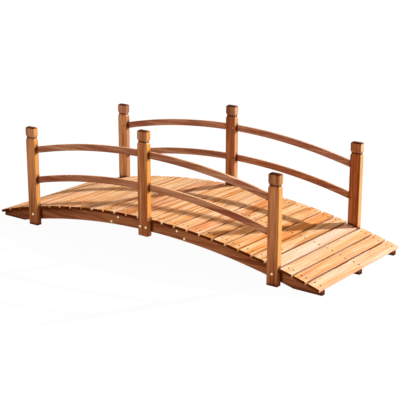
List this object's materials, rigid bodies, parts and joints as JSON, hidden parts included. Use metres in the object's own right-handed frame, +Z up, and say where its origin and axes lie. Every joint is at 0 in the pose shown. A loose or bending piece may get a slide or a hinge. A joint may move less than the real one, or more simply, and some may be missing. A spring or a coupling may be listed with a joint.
{
  "type": "moon bridge",
  "caption": "Arched wooden garden footbridge with a slatted deck on arched stringers, grooved posts and bowed double rails along both sides.",
  "frame": {"origin": "middle of the bridge on the ground, under the crown of the arch", "axes": "+X along the walkway, +Y across it towards the back railing, +Z up"},
  "size_m": [1.7942, 0.683, 0.551],
  "materials": {
    "stringer_wood": "brown-stained fir, satin",
    "post_wood": "brown-stained fir, satin",
    "rail_wood": "brown-stained fir, satin",
    "plank_wood": "honey-stained fir, satin"
  },
  "bodies": {
    "root": {"stringer_front": "stringer_wood", "stringer_centre": "stringer_wood", "stringer_back": "stringer_wood", "splice_boards": "stringer_wood", "post_front_left": "post_wood", "post_front_middle": "post_wood", "post_front_right": "post_wood", "rail_front_left_upper": "rail_wood", "rail_front_left_lower": "rail_wood", "rail_front_right_upper": "rail_wood", "rail_front_right_lower": "rail_wood", "post_back_left": "post_wood", "post_back_middle": "post_wood", "post_back_right": "post_wood", "rail_back_left_upper": "rail_wood", "rail_back_left_lower": "rail_wood", "rail_back_right_upper": "rail_wood", "rail_back_right_lower": "rail_wood", "plank_01": "plank_wood", "plank_02": "plank_wood", "plank_03": "plank_wood", "plank_04": "plank_wood", "plank_05": "plank_wood", "plank_06": "plank_wood", "plank_07": "plank_wood", "plank_08": "plank_wood", "plank_09": "plank_wood", "plank_10": "plank_wood", "plank_11": "plank_wood", "plank_12": "plank_wood", "plank_13": "plank_wood", "plank_14": "plank_wood", "plank_15": "plank_wood", "plank_16": "plank_wood", "plank_17": "plank_wood", "plank_18": "plank_wood", "plank_19": "plank_wood", "plank_20": "plank_wood", "plank_21": "plank_wood", "plank_22": "plank_wood", "plank_23": "plank_wood", "plank_24": "plank_wood", "plank_25": "plank_wood", "plank_26": "plank_wood", "plank_27": "plank_wood"}
  },
  "joints": []
}
